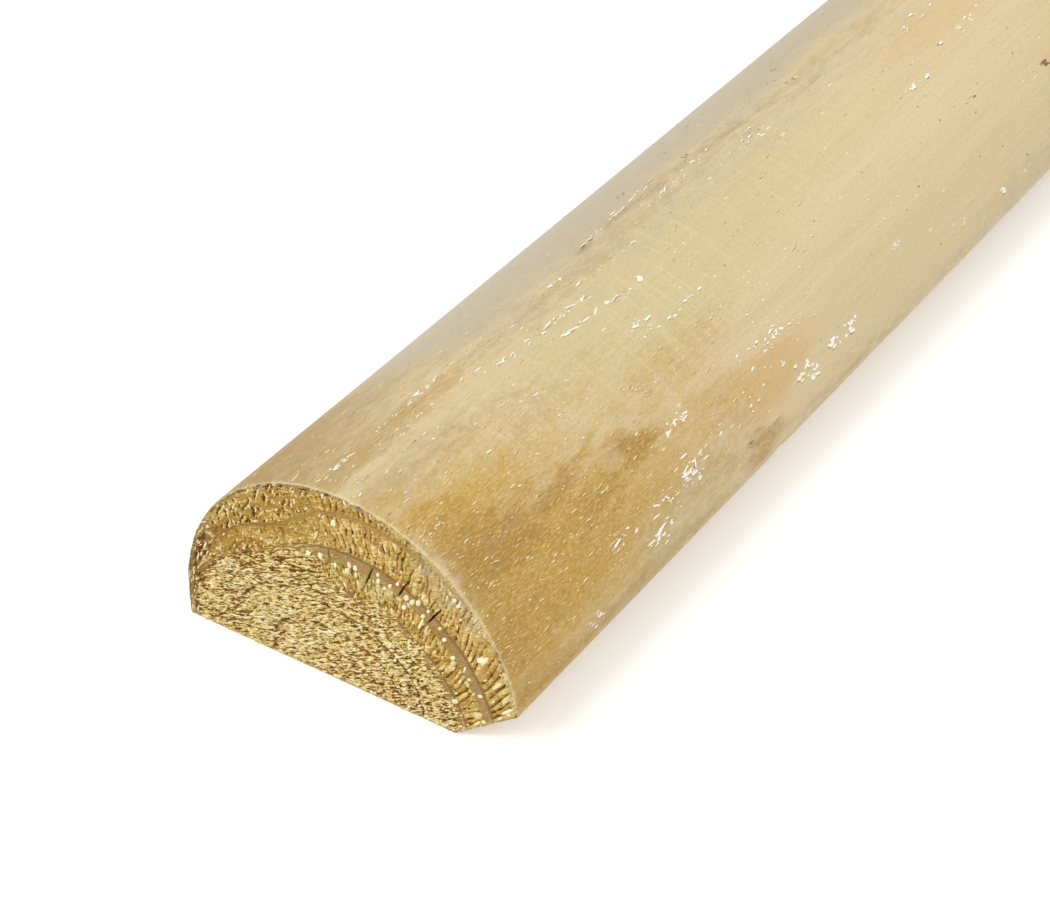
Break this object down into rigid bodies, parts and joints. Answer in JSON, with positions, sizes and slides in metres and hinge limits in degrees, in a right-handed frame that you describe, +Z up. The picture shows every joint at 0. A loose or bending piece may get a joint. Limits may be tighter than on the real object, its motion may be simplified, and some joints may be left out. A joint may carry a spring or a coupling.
{
  "type": "half-round softwood post",
  "caption": "Machine-rounded, pressure-treated half-round timber post lying on its sawn face, with a skew sawn bevel along one side and sawn end grain.",
  "frame": {"origin": "on the floor under the middle of the post: mid length, mid overall width, at the height of the wide sawn face", "axes": "+Y along the grain from the near, pictured end to the far end, +Z up through the round face, +X across the post towards its bevelled side"},
  "size_m": [0.0996, 1.8, 0.058],
  "materials": {
    "treated_pine": "machine-rounded and pressure-treated pine: satin greenish-yellow to golden round face with pale salt flecks, rough sawn end grain"
  },
  "bodies": {
    "root": {"half_round_post": "treated_pine"}
  },
  "joints": []
}
